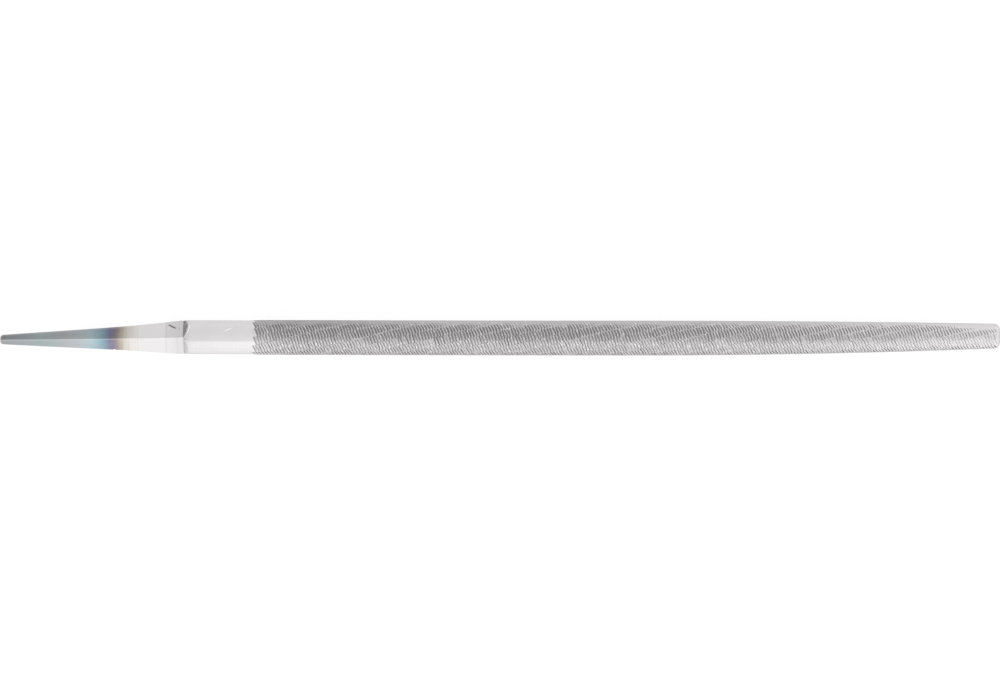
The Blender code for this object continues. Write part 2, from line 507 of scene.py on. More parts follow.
# %% Sizes of the cut
COURSES = 12
COURSE_LEAD = 159.6 * MM
FIRST_COURSE_TURN = math.radians(3.0)
TOOTH_PITCH = 1.05 * MM
TOOTH_RAISE = 0.17 * MM
RAISE_RUN = 5.0 * MM
NOSE_RADIUS = 4.52 * MM
NOSE_EDGE = 1.9 * MM
NOSE_EDGE_DROP = 2.9 * MM

crest_radius = bar_radius + TOOTH_RAISE
rim_x = tip_x - NOSE_EDGE
print("teeth along one course:", round((rim_x - cut_x) / TOOTH_PITCH))


def plain_radius(x):
    """The radius over the teeth: parallel, then a belly that curves in, then the rounded nose."""
    raised = np.clip((x - cut_x) / RAISE_RUN, 0.0, 1.0)
    into_rim = np.clip((x - rim_x) / NOSE_EDGE, 0.0, 1.0)
    parallel = crest_radius - TOOTH_RAISE * (1.0 - raised) ** 2
    belly = (crest_radius - NOSE_RADIUS) * along_curve(x) ** 2
    return parallel - belly - NOSE_EDGE_DROP * (1.0 - np.sqrt(1.0 - into_rim**2))


# %% [markdown]
# A tooth doesn't run square across its course. Its line slants, and bows a little, because the chisel
# is held at an angle to a round bar.

# %% Lines of the courses and the teeth
TOOTH_SLANT = 0.039
TOOTH_BOW = 0.0003
COURSE_WIDTH = 360.0 / COURSES


def course_turn(x):
    """How far the courses have climbed round the bar at a distance along it."""
    return FIRST_COURSE_TURN + 2 * math.pi * (x - shoulder_x) / COURSE_LEAD


def slant_at(across):
    """How far a tooth runs ahead of its middle, in teeth, at degrees across its course."""
    return TOOTH_SLANT * across + TOOTH_BOW * across**2


lead_over_course = slant_at(COURSE_WIDTH / 2) - slant_at(-COURSE_WIDTH / 2)
print("a tooth's line leads by", round(lead_over_course, 2), "teeth over one course")

# %% [markdown]
# The chisel is held by hand or by an old machine, so no two blows are quite alike. Each tooth is a
# little early or late, deep or shallow, and turned. The teeth of one course also don't meet those of
# the next: each course starts about a quarter of a tooth after the one beside it, and breaks its
# line there. All these chances come from one seeded source, so every run gives the same file.

# %% The chisel's unevenness
TOOTH_COUNT = 300
SPARE_TEETH = 10
SHIFT_SPREAD = 0.055 * MM
DEPTH_SPREAD = 0.18
TURN_SPREAD = 0.15
COURSE_BREAK = 0.25
BREAK_SPREAD = 0.09
CHANCE_SEED = 12

chance = np.random.default_rng(CHANCE_SEED)
tooth_numbers = np.arange(-SPARE_TEETH, TOOTH_COUNT)
tooth_shift = chance.normal(0.0, SHIFT_SPREAD, (COURSES, len(tooth_numbers)))
tooth_depth = chance.normal(1.0, DEPTH_SPREAD, (COURSES, len(tooth_numbers)))
tooth_turn = chance.normal(1.0, TURN_SPREAD, (COURSES, len(tooth_numbers)))
course_offset = -COURSE_BREAK * np.arange(COURSES) + chance.normal(0.0, BREAK_SPREAD, COURSES)
print("first course's first depths:", np.round(tooth_depth[0, :5], 2))

# %% [markdown]
# The head side is worn almost smooth, in a strip that begins as a wedge past the heel and is widest
# at the point, where it fades out over that whole half of the bar. The teeth in it keep only a little
# of their depth. The places are shares of the blade, and the strip's reach and fade are degrees
# round the bar from its middle.

# %% Wear along the head side
WORN_PLACES = [0.0, 0.13, 0.25, 0.80, 0.90, 0.945, 0.965, 1.0]
WORN_REACHES = [2.0, 5.0, 33.0, 31.0, 36.0, 50.0, 82.0, 90.0]
WORN_FADES = [8.0, 8.0, 8.0, 8.0, 10.0, 16.0, 44.0, 58.0]
WORN_SHARE = 0.97


def worn_share(x, turn):
    """How far the teeth are worn down: most in the middle of the head side, nothing beyond reach."""
    from_side = np.abs(np.mod(np.degrees(turn) + 90.0, 360.0) - 180.0)
    reach = np.interp(along_blade(x), WORN_PLACES, WORN_REACHES)
    fade = np.interp(along_blade(x), WORN_PLACES, WORN_FADES)
    return WORN_SHARE * np.clip((reach - from_side) / fade, 0.0, 1.0)


mid_wear = worn_share((shoulder_x + tip_x) / 2, QUARTER)
print("wear on the head side at mid blade:", round(float(mid_wear), 2))

# %% [markdown]
# One tooth, seen from the side, rises quickly from its groove towards the point, runs on as a nearly
# flat land and drops steeply into the next groove. Its cutting edge therefore faces the point, which
# is why a file cuts on the push stroke.
#
# A straight edge cuts a round bar deepest in the middle of its course. The steel gives a little under
# the blow, so the bottom of the groove comes out somewhat rounder than the edge, and CUT_FLATNESS
# says how much of its flatness is left.

# %% The outline of one tooth
TOOTH_STEPS = np.array([0.0, 0.08, 0.22, 0.40, 0.62, 0.88, 0.95])
TOOTH_RISES = np.array([0.0, 0.20, 0.60, 0.90, 0.985, 1.0, 0.45])
CREST_STEP = TOOTH_STEPS[TOOTH_RISES.argmax()]
LAND_GAIN = 0.10
CUT_DEPTH = 0.29 * MM
DEPTH_LOSS = 0.15
LEAST_DEPTH_SHARE = 0.25
CUT_FLATNESS = 0.70


def tooth_rise(count, into_curve):
    """The height between groove and crest, at a place counted in teeth."""
    rise = np.interp(np.mod(count, 1.0), [*TOOTH_STEPS, 1.0], [*TOOTH_RISES, 0.0])
    return np.minimum(rise * (1.0 + LAND_GAIN * into_curve), 1.0)


def groove_radius(top, depth, side):
    """The radius at the bottom of a groove, at degrees across its course."""
    straight_cut = (top - depth) / np.cos(np.radians(side) * CUT_FLATNESS)
    return np.minimum(straight_cut, top - LEAST_DEPTH_SHARE * depth)


mid_groove = groove_radius(crest_radius, CUT_DEPTH, 0.0)
print("groove in the middle of a course:", round(1000 * float(crest_radius - mid_groove), 2), "mm")

# %% [markdown]
# The cuts of a course begin with the first groove that lies wholly past the heel, and end a little
# short of the nose. Beyond them the steel is left uncut.

# %% Where the cuts begin and end
CUT_SHORT = 1.0 * MM


def first_cut(course):
    """The number of a course's first groove: its leading end starts at the heel."""
    start = (cut_x - shoulder_x) / TOOTH_PITCH + slant_at(COURSE_WIDTH / 2)
    return math.ceil(start + course_offset[course])


def last_cut(course):
    """The number of a course's last groove, a little short of the end of the nose."""
    end = (tip_x - CUT_SHORT - shoulder_x) / TOOTH_PITCH + slant_at(-COURSE_WIDTH / 2)
    return math.floor(end + course_offset[course])


blows = sum(last_cut(course) - first_cut(course) + 1 for course in range(COURSES))
print("blows of the chisel:", blows)


# %% Radii and marks along the teeth
def tooth_x(count, course, side):
    """Where along the bar a tooth's line lies, at degrees across its course."""
    turned = np.interp(count, tooth_numbers, tooth_turn[course])
    shift = np.interp(count, tooth_numbers, tooth_shift[course])
    return shoulder_x + TOOTH_PITCH * (count - slant_at(side) * turned - course_offset[course]) + shift


def turn_at(x, course, side):
    """The angle round the bar at a distance, a course and degrees across it."""
    return course_turn(x) + math.radians(COURSE_WIDTH * (course + 0.5) + side)


def tooth_skin(x, count, course, side):
    """The radius on a course's tooth lines, and its marks: height, uncut, worn and side on."""
    top = plain_radius(x)
    turn = turn_at(x, course, side)
    worn = worn_share(x, turn)
    blow = np.interp(np.round(count), tooth_numbers, tooth_depth[course]) * (1.0 - worn)
    depth = CUT_DEPTH * (1.0 - DEPTH_LOSS * along_curve(x)) * blow
    bottom = groove_radius(top, depth, side)
    before_cuts = count < first_cut(course) - 1 + CREST_STEP
    after_cuts = count > last_cut(course) + CREST_STEP
    rise = np.where(before_cuts | after_cuts, 1.0, tooth_rise(count, along_curve(x)))
    height = 1.0 - (1.0 - rise) * (1.0 - worn)
    return bottom + (top - bottom) * rise, (height, before_cuts * 1.0, worn, np.abs(np.sin(turn)))


first_groove = float(tooth_x(first_cut(0), 0, 0.0) - shoulder_x)
print("first groove of the first course:", round(1000 * first_groove, 1), "mm past the shoulder")

# %% [markdown]
# Two courses meet along a seam, where the rows of one don't meet the rows of the next. Each row is
# joined to the one beside it that lies nearest, and the narrow seam takes up the difference, just as
# the ends of real teeth run into each other. At both ends of a length the rows stop on a flat ring,
# so the next length begins exactly where this one ends.
#
# BEYOND_TEETH names the four marks of a tooth, and says what a point gets that lies past the last row.

# %% The grid of a toothed length
ACROSS_STEPS = 8
ACROSS_REACH = 14.3
END_TEETH = 4
BEYOND_TEETH = {"tooth_height": 1.0, "uncut": 1.0, "worn": 1.0, "side_on": 0.0}

across = np.linspace(-ACROSS_REACH, ACROSS_REACH, ACROSS_STEPS)
print("lines of points round the bar:", COURSES * ACROSS_STEPS)


def toothed_grid(start, end):
    """Distances, angles, radii and marks, one column for each line of points."""
    low = math.floor((start - shoulder_x) / TOOTH_PITCH) - END_TEETH
    high = math.ceil((end - shoulder_x) / TOOTH_PITCH) + END_TEETH
    counts = (np.arange(low, high)[:, None] + TOOTH_STEPS[None, :]).ravel()
    columns = []
    for course in range(COURSES):
        for side in across:
            line = tooth_x(counts, course, side)
            ring_counts = np.interp([start, end], line, counts)
            x = np.concatenate([[start], line, [end]])
            count = np.concatenate([ring_counts[:1], counts, ring_counts[1:]])
            radius, marks = tooth_skin(x, count, course, side)
            columns.append((x, turn_at(x, course, side), radius, *marks))
    x, turn, radius, *marks = [np.array(part) for part in zip(*columns)]
    return x, turn, radius, dict(zip(BEYOND_TEETH, marks))


# %% The faces of a toothed length
SNAP = 0.02 * MM


def row_shift(x, left, right):
    """How many rows on the right column lies the row nearest to each on the left."""
    middle = x.shape[1] // 2
    return int(np.argmin(np.abs(x[right] - x[left, middle]))) - middle


def toothed_faces(x, start, end):
    """Faces over the columns, with everything past an end drawn onto that end's ring."""
    columns, rows = x.shape
    number = np.arange(columns * rows).reshape(columns, rows)
    number = np.where(x <= start + SNAP, number[:, :1], number)
    number = np.where(x >= end - SNAP, number[:, -1:], number)
    faces = []
    for left in range(columns):
        right = (left + 1) % columns
        shift = row_shift(x, left, right) if right % ACROSS_STEPS == 0 else 0
        for row in range(rows - 1):
            over = np.clip([row + shift, row + 1 + shift], 0, rows - 1)
            corners = [*number[left, row : row + 2], *number[right, over[::-1]]]
            corners = list(dict.fromkeys(int(corner) for corner in corners))
            if len(corners) > 2:
                faces.append(tuple(corners))
    return faces, number[:, 0].tolist(), number[:, -1].tolist()


print("rows nearer to an end than", round(1000 * SNAP, 2), "mm are drawn onto its ring")

# %% Closing a toothed length
def toothed_piece(name, points, faces, marks, node):
    """Drops the points that no face uses, and makes the piece with its marks."""
    used = np.unique(np.concatenate([np.array(face) for face in faces]))
    renumber = {int(old): new for new, old in enumerate(used)}
    faces = [tuple(renumber[int(corner)] for corner in face) for face in faces]
    kept = {}
    for mark, values in marks.items():
        beyond = np.full(len(points) - values.size, BEYOND_TEETH[mark])
        kept[mark] = np.append(values.ravel(), beyond)[used]
    return new_piece(name, points[used], faces, node, kept)


def toothed_length(name, start, end, node):
    """A closed length of cut bar between two distances."""
    x, turn, radius, marks = toothed_grid(start, end)
    faces, first_ring, last_ring = toothed_faces(x, start, end)
    points = on_bar(x, turn, radius)
    faces += cap_faces(first_ring, len(points), False)
    faces += cap_faces(last_ring, len(points) + 1, True)
    points = np.vstack([points, on_bar(np.array([start, end]), 0.0, 0.0)])
    return toothed_piece(name, points, faces, marks, node)


blade = toothed_length("blade_teeth", cut_x, taper_x, "blade")
taper = toothed_length("taper_teeth", taper_x, point_x, "taper")

# %% [markdown]
# ## The nose
#
# The last teeth run onto the rounded rim, and the end face inside it is left a little domed. The
# columns of the teeth carry on over the rim and in to the axis, so no seam shows.

# %% Rings over the rim and the dome
RIM_START = 0.6 * MM
RIM_RINGS = 9
DOME_RINGS = 4
DOME_RISE = 0.06 * MM

rim_start_x = tip_x - RIM_START


def nose_rings(last_radius):
    """Distances and radii of the rings that carry the last row over the rim and in to the axis."""
    first_angle = math.asin(1.0 - RIM_START / NOSE_EDGE)
    angles = np.linspace(first_angle, QUARTER, RIM_RINGS + 1)[1:]
    shares = (np.sin(angles) - math.sin(first_angle)) / (1.0 - math.sin(first_angle))
    reaches = rim_start_x + (RIM_START - DOME_RISE) * shares
    drops = NOSE_EDGE_DROP * (math.cos(first_angle) - np.cos(angles))
    rings = [(reach, last_radius - drop) for reach, drop in zip(reaches, drops)]
    flat_radius = rings[-1][1]
    for share in np.linspace(0.0, 1.0, DOME_RINGS + 1)[1:-1]:
        rings.append((tip_x - DOME_RISE * (1.0 - share) ** 2, flat_radius * (1.0 - share)))
    return rings


end_radius = nose_rings(float(plain_radius(rim_start_x)))[RIM_RINGS - 1][1]
print("end face:", round(2000 * end_radius, 2), "mm across")

# %% The point
nose_x, nose_turn, nose_radius, nose_marks = toothed_grid(point_x, rim_start_x)
nose_faces, first_ring, last_ring = toothed_faces(nose_x, point_x, rim_start_x)
nose_points = on_bar(nose_x, nose_turn, nose_radius)
for ring_x, ring_radius in nose_rings(nose_radius[:, -1]):
    ring = list(range(len(nose_points), len(nose_points) + len(last_ring)))
    ring_points = on_bar(np.full(len(ring), ring_x), nose_turn[:, -1], ring_radius)
    nose_points = np.vstack([nose_points, ring_points])
    nose_faces += band_faces(last_ring, ring)
    last_ring = ring
nose_faces += cap_faces(first_ring, len(nose_points), False)
nose_faces += cap_faces(last_ring, len(nose_points) + 1, True)
nose_points = np.vstack([nose_points, on_bar(np.array([point_x, tip_x]), 0.0, 0.0)])
point = toothed_piece("point_nose", nose_points, nose_faces, nose_marks, "point")

# %% [markdown]
# ## Writing a finish as sums
#
# A finish is easier to read as a sum than as a web of nodes. This class holds one socket, and adding
# or multiplying two of them adds the Math node that does it. Colours are mixed and vectors scaled by
# their own kinds of node, and every other node comes from the one method that makes any of them.

# %% A socket that can be used in sums
MIX_SHARE, MIX_FIRST, MIX_SECOND, MIX_COLOUR_OUT = 0, 6, 7, 2
WHITE = (1.0, 1.0, 1.0)
BLACK = (0.0, 0.0, 0.0)


class Wire:
    """One socket of a node tree, which can be used in sums as a number is."""

    def __init__(self, tree, socket=None):
        self.tree = tree
        self.socket = socket

    def node(self, kind, settings=None, inputs=None, out=0):
        """Adds a node, sets it up, feeds its sockets, and gives back one of its outputs."""
        made = self.tree.nodes.new(kind)
        for name, value in (settings or {}).items():
            if name == "stops":
                while len(made.color_ramp.elements) < len(value):
                    made.color_ramp.elements.new(1.0)
                for stop, (place, paint) in zip(made.color_ramp.elements, value):
                    stop.position = place
                    stop.color = (*paint, 1.0)
            else:
                setattr(made, name, value)
        for name, value in (inputs or {}).items():
            if isinstance(value, Wire):
                self.tree.links.new(value.socket, made.inputs[name])
            else:
                made.inputs[name].default_value = value
        return Wire(self.tree, made.outputs[out] if made.outputs else None)

    def sum_with(self, operation, first, second):
        """The Math node that does one step of a sum."""
        return self.node("ShaderNodeMath", {"operation": operation}, {0: first, 1: second})

    def __add__(self, other):
        return self.sum_with("ADD", self, other)

    def __radd__(self, other):
        return self.sum_with("ADD", other, self)

    def __sub__(self, other):
        return self.sum_with("SUBTRACT", self, other)

    def __rsub__(self, other):
        return self.sum_with("SUBTRACT", other, self)

    def __mul__(self, other):
        return self.sum_with("MULTIPLY", self, other)

    def __rmul__(self, other):
        return self.sum_with("MULTIPLY", other, self)

    def between(self, low, high, rise="SMOOTHSTEP"):
        """Nothing below low, one above high, and a smooth or a straight rise between."""
        settings = {"interpolation_type": rise}
        inputs = {"Value": self, "From Min": low, "From Max": high}
        return self.node("ShaderNodeMapRange", settings, inputs)

    def stretched(self, scale):
        """A vector with its three lengths scaled."""
        return self.node("ShaderNodeVectorMath", {"operation": "MULTIPLY"}, {0: self, 1: scale})

    def blend(self, first, second):
        """The colour that is first where this is nothing, and second where it is one."""
        paints = {MIX_SHARE: self, MIX_FIRST: colour(first), MIX_SECOND: colour(second)}
        return self.node("ShaderNodeMix", {"data_type": "RGBA"}, paints, MIX_COLOUR_OUT)


def colour(value):
    """A colour's three numbers with its alpha added, or a colour socket as it is."""
    return value if isinstance(value, Wire) else (*value, 1.0)


print("white with its alpha:", colour(WHITE))

# %% [markdown]
# ## Steel
#
# All the finishes are one metal, so they share a shader: fully metallic, with a colour, a roughness
# and a fine relief. What differs is how the surface was left, by the hammer, by the grinding wheel
# or by the chisel. The Specular Tint of a metal is its colour at a glancing angle. It stays below
# white, most on the cut steel, where teeth stand in front of each other at such angles.

# %% The shared shader
EDGE_TINT = (0.92, 0.92, 0.92)
CUT_EDGE_TINT = (0.8, 0.8, 0.8)


def new_finish(name):
    """An empty material, and the bench on which its nodes are put together."""
    material = bpy.data.materials.new(name)
    material.use_nodes = True
    material.node_tree.nodes.clear()
    return material, Wire(material.node_tree)


def steel(bench, paint, roughness, relief, relief_depth, edge_tint=EDGE_TINT):
    """Finishes a node tree as bare metal."""
    relief_inputs = {"Height": relief, "Distance": relief_depth, "Strength": 1.0}
    inputs = {
        "Base Color": paint,
        "Roughness": roughness,
        "Normal": bench.node("ShaderNodeBump", None, relief_inputs),
        "Metallic": 1.0,
        "Specular Tint": colour(edge_tint),
    }
    shader = bench.node("ShaderNodeBsdfPrincipled", None, inputs)
    bench.node("ShaderNodeOutputMaterial", None, {"Surface": shader})
    print("nodes in this finish:", len(bench.tree.nodes))


# %% [markdown]
# A finish changes from place to place in three ways. It can read the place itself, a mark that was
# kept with the mesh, or noise. Noise takes how many of its marks lie in a metre along each axis, so
# unequal numbers draw it out into lines. Where a value is a pair, a soft change begins at its first
# number and is complete at its second.


# %% What a finish can read
def place_on(bench):
    """The place on the file, and its lengths along X and Y."""
    place = bench.node("ShaderNodeTexCoord", out="Object")
    along, off_axis = (place.node("ShaderNodeSeparateXYZ", None, {0: place}, axis) for axis in "XY")
    return place, along, off_axis


def mark(bench, name):
    """A number kept with the points of the mesh."""
    return bench.node("ShaderNodeAttribute", {"attribute_name": name}, None, "Fac")


def noise(place, per_metre, detail=2.0):
    """Soft random marks between nothing and one."""
    inputs = {"Vector": place.stretched(per_metre), "Scale": 1.0, "Detail": detail}
    return place.node("ShaderNodeTexNoise", None, inputs)


print("marks kept with the teeth:", ", ".join(BEYOND_TEETH))

# %% [markdown]
# The heel is ground on a wheel while the bar turns, which leaves very fine lines round it. They are
# noise drawn out round the bar and squeezed along it. Beside the forging the wheel hardly reached
# the bar, so its colour falls off there.

# %% Ground steel
GROUND = (0.727, 0.706, 0.713)
GROUND_DULL = (0.657, 0.640, 0.648)
GROUND_FORGED = (0.600, 0.584, 0.591)
WHEEL_LINES = (9000.0, 160.0, 160.0)
WHEEL_DETAIL = 3.0
HANDLING_MARKS = (60.0, 120.0, 120.0)
UNEVEN = (0.25, 0.75)
PAST_FORGING = 1.0 * MM

ground_finish, bench = new_finish("ground_steel")
place, along, off_axis = place_on(bench)
wheel_lines = noise(place, WHEEL_LINES, WHEEL_DETAIL)
handling = noise(place, HANDLING_MARKS)
unevenness = (handling * 0.5 + wheel_lines * 0.5).between(*UNEVEN)
near_forging = 1.0 - along.between(shoulder_x, heel_x + PAST_FORGING)
wheel_ground = near_forging.blend(unevenness.blend(GROUND_DULL, GROUND), GROUND_FORGED)
print("lines of the wheel:", round(WHEEL_LINES[0] * MM), "in a millimetre")

# %% [markdown]
# The crescents were never ground. They keep the dark scale of the forge, which has flaked in patches,
# and it is painted darker on the head side than on the foot side, as shade. Just past them on the head
# side, and at the fleck, the steel gets a painted highlight.

# %% Scale, painted shade and painted highlights on the ground steel
HIGHLIGHT_PALE = (0.93, 0.91, 0.92)
SCALE_AND_SHADE_DARK = (0.270, 0.263, 0.267)
SCALE_PATCHES = (700.0, 700.0, 700.0)
SCALE_EDGE = (0.25, 0.9)
SCALE_FLAKES = (0.1, 0.5)
FOOT_SCALE_AND_SHADE = 0.12
HEAD_START = (-0.6 * MM, 0.4 * MM)
HIGHLIGHT_START = (0.6 * MM, 2.0 * MM)
HIGHLIGHT_END = (3.9 * MM, 4.9 * MM)
GROUND_ROUGHNESS = 0.19
LINE_ROUGHNESS = 0.05
SCALE_ROUGHNESS = 0.2
GROUND_RELIEF = 0.002 * MM

# Painted shade: the crescents' scale is darker on the head side than on the foot side.
scale_and_head_shade = FOOT_SCALE_AND_SHADE + (1.0 - FOOT_SCALE_AND_SHADE) * off_axis.between(*HEAD_START)
flakes = noise(place, SCALE_PATCHES).between(*SCALE_FLAKES)
scale_and_shade_left = mark(bench, "slope").between(*SCALE_EDGE) * flakes * scale_and_head_shade
# Painted highlight on the head side's flank: the rim past the crescents and the fleck.
on_flank = off_axis.between(*HIGHLIGHT_START) * (1.0 - off_axis.between(*HIGHLIGHT_END))
highlighted = (mark(bench, "burnish") * on_flank).blend(wheel_ground, HIGHLIGHT_PALE)
scaled = scale_and_shade_left.blend(highlighted, SCALE_AND_SHADE_DARK)
ground_roughness = GROUND_ROUGHNESS + wheel_lines * LINE_ROUGHNESS + scale_and_shade_left * SCALE_ROUGHNESS
steel(bench, scaled, ground_roughness, wheel_lines, GROUND_RELIEF)

# %% [markdown]
# Only the tang is softened after hardening, by heating it until it changes colour. The heat comes
# from its end, so the oxide runs from grey through blue, purple and brown to a last pale straw before
# the bright steel. One ramp gives these colours, with each stop at its share of the way from the
# tang's end to the shoulder.

# %% The temper colours
SCALE_GREY = (0.315, 0.326, 0.338)
BLUE_GREY = (0.332, 0.357, 0.380)
GREEN_GREY = (0.325, 0.385, 0.385)
LILAC_GREY = (0.442, 0.448, 0.468)
PALE_BLUE = (0.43, 0.515, 0.55)
SKY_BLUE = (0.39, 0.507, 0.549)
BLUE = (0.271, 0.408, 0.483)
DEEP_BLUE = (0.224, 0.307, 0.396)
PURPLE = (0.209, 0.204, 0.326)
PLUM = (0.252, 0.212, 0.274)
BROWN = (0.322, 0.273, 0.259)
GOLD = (0.478, 0.434, 0.372)
STRAW = (0.605, 0.558, 0.484)
PALE_STRAW = (0.702, 0.670, 0.610)
TEMPER_STOPS = [
    (0.0, LILAC_GREY),
    (0.015, SCALE_GREY),
    (0.13, BLUE_GREY),
    (0.22, GREEN_GREY),
    (0.39, LILAC_GREY),
    (0.475, PALE_BLUE),
    (0.505, SKY_BLUE),
    (0.552, BLUE),
    (0.579, DEEP_BLUE),
    (0.601, PURPLE),
    (0.623, PLUM),
    (0.640, BROWN),
    (0.661, GOLD),
    (0.678, STRAW),
    (0.70, PALE_STRAW),
    (0.77, GROUND),
    (0.90, GROUND),
    (0.99, GROUND_DULL),
]
print("stops of temper colour:", len(TEMPER_STOPS))

# %% [markdown]
# The flats on the head side are painted darker than the others, as the shade of flats that face away
# from the soft box, and a second ramp says how much darker they are at each place. Noise along the
# tang makes the edges of both ramps wander, as heat does.

# %% Oxide and painted shade along the tang
HEAD_SHADES = [0.36, 0.26, 0.16, 0.26, 0.25, 0.31, 0.33, 0.22, 0.07, 0.06, 0.13, 0.13]
HEAD_PLACES = [0.0, 0.14, 0.22, 0.31, 0.50, 0.60, 0.64, 0.70, 0.76, 0.898, 0.904, 0.99]
WANDER_MARKS = (90.0, 300.0, 300.0)
WANDER_REACH = 0.018
STREAKS = (60.0, 900.0, 900.0)
STREAK_DETAIL = 4.0
STREAK_EDGE = (0.35, 0.7)
STREAK_DULLING = 0.25
OXIDE_END = (0.60, 0.76)

tang_finish, bench = new_finish("tempered_tang")
place, along, _ = place_on(bench)
down_tang = (along - tang_x) * (1.0 / tang_length)
wandered = down_tang + (noise(place, WANDER_MARKS) - 0.5) * WANDER_REACH
temper = bench.node("ShaderNodeValToRGB", {"stops": TEMPER_STOPS}, {0: wandered})
# Painted shade: the second ramp darkens the head side's flats, which face away from the soft box.
shade_stops = [(stop, (shade, shade, shade)) for stop, shade in zip(HEAD_PLACES, HEAD_SHADES)]
head_shade = bench.node("ShaderNodeValToRGB", {"stops": shade_stops}, {0: wandered})
streaks = noise(place, STREAKS, STREAK_DETAIL)
oxide = 1.0 - down_tang.between(*OXIDE_END)
dulled = (streaks.between(*STREAK_EDGE) * oxide * STREAK_DULLING).blend(temper, SCALE_GREY)
shaded = (mark(bench, "head_side") * head_shade).blend(dulled, BLACK)
print("bright steel from", round(1000 * tang_length * (1.0 - OXIDE_END[1]), 1), "mm behind the shoulder")

# %% [markdown]
# Fine dark lines cross the tang: two where the edge of a die pressed it, the second only on the foot
# side, and many faint ones where the straw colour ends. The nick is dark inside, and the lines
# beside the ridges get a painted highlight up to the last few millimetres.

# %% Marks across the tang
DEEP_DARK = (0.06, 0.06, 0.06)
PRESS_PLACE = 0.907
SECOND_PRESS_PLACE = 0.966
PRESS_RISE = 0.006
PRESS_FALL = 0.010
PRESS_DARK = 0.09
SECOND_PRESS_SHARE = 0.7
STRAW_START = (0.63, 0.67)
STRAW_END = (0.73, 0.79)
HEAT_LINES = (1700.0, 70.0, 70.0)
HEAT_EDGE = (0.5, 0.68)
HEAT_DARK = 0.10
NICK_EDGE = (0.35, 0.75)
NICK_DARK = 0.85


def press_mark(down_tang, press_place):
    """A fine line across the tang, where the edge of a die pressed it."""
    rise = down_tang.between(press_place - PRESS_RISE, press_place)
    return rise - down_tang.between(press_place, press_place + PRESS_FALL)


on_foot_side = (1.0 - mark(bench, "head_side")) * SECOND_PRESS_SHARE
second_press = press_mark(down_tang, SECOND_PRESS_PLACE) * on_foot_side
pressed = (press_mark(down_tang, PRESS_PLACE) + second_press) * PRESS_DARK
straw_band = down_tang.between(*STRAW_START) - down_tang.between(*STRAW_END)
heat_lines = noise(place, HEAT_LINES).between(*HEAT_EDGE) * straw_band * HEAT_DARK
dark_marks = mark(bench, "nick").between(*NICK_EDGE) * NICK_DARK + pressed + heat_lines
print("first press mark:", round(1000 * tang_length * (1.0 - PRESS_PLACE), 1), "mm behind the shoulder")

# %% The tempered tang
RIDGE_HIGHLIGHT = 0.18
RIDGE_END = (0.92, 0.97)
CROSS_LINES = (5000.0, 150.0, 150.0)
CROSS_SHARE = 0.4
TANG_ROUGHNESS = 0.20
OXIDE_ROUGHNESS = 0.05
STREAK_ROUGHNESS = 0.05
TANG_RELIEF = 0.004 * MM

# Painted highlight: a bright line beside each ridge, fading out near the shoulder.
painted_light = mark(bench, "ridge") * (1.0 - down_tang.between(*RIDGE_END)) * RIDGE_HIGHLIGHT
painted_lit = painted_light.blend(shaded, GROUND)
tang_roughness = TANG_ROUGHNESS + oxide * OXIDE_ROUGHNESS + streaks * STREAK_ROUGHNESS
tang_relief = streaks * oxide + noise(place, CROSS_LINES) * CROSS_SHARE
steel(bench, dark_marks.blend(painted_lit, DEEP_DARK), tang_roughness, tang_relief, TANG_RELIEF)

# %% [markdown]
# The cut steel has more to show. Between crest and groove its colour hardly changes, since the shape
# of the teeth already gives light and shade, but it pales along the taper. Some crests get painted
# glints, bright spots that stand in for highlights. The height of each point of a tooth was kept with
# the mesh, so the finish can tell crest from groove, and a thin film of oil makes it a little uneven.

# %% Crests, grooves and glints
GROOVE_DARK = (0.515, 0.500, 0.508)
CREST_BRIGHT = (0.492, 0.478, 0.484)
TEETH_AT_POINT = (0.715, 0.696, 0.703)
CREST_GLINT = (0.86, 0.845, 0.85)
CREST_RISE = (0.0, 0.9)
OIL_MARKS = (90.0, 260.0, 260.0)
LEAST_BRIGHT = 0.75
OIL_SPREAD = 0.5
GLINT_MARKS = (1100.0, 1100.0, 1100.0)
GLINT_DETAIL = 1.0
GLINT_EDGE = (0.54, 0.70)
GLINT_HEIGHT = (0.6, 0.95)
GLINT_SHARE = 0.6
PALER_FROM = taper_x - 28 * MM

cut_finish, bench = new_finish("cut_steel")
place, along, off_axis = place_on(bench)
tooth_height, uncut, worn, side_on = (mark(bench, name) for name in BEYOND_TEETH)
into_taper = along.between(PALER_FROM, tip_x, "LINEAR")
towards_point = into_taper * into_taper
groove = towards_point.blend(GROOVE_DARK, TEETH_AT_POINT)
crest = towards_point.blend(CREST_BRIGHT, TEETH_AT_POINT)
brightness = tooth_height.between(*CREST_RISE) * (LEAST_BRIGHT + OIL_SPREAD * noise(place, OIL_MARKS))
# Painted highlights: bright glints on some crests.
glints = noise(place, GLINT_MARKS, GLINT_DETAIL).between(*GLINT_EDGE)
glinting = glints * tooth_height.between(*GLINT_HEIGHT) * GLINT_SHARE
fresh_teeth = glinting.blend(brightness.blend(groove, crest), CREST_GLINT)
print("the teeth pale over the last", round(1000 * (tip_x - PALER_FROM)), "mm")

# %% [markdown]
# The grooves at both sides of the bar are painted dark, partly as grime where no rag reaches them and
# partly as painted shade, and more so along the foot side of the taper. The head side there gets a
# little painted light, and a band of painted shade runs along the middle.

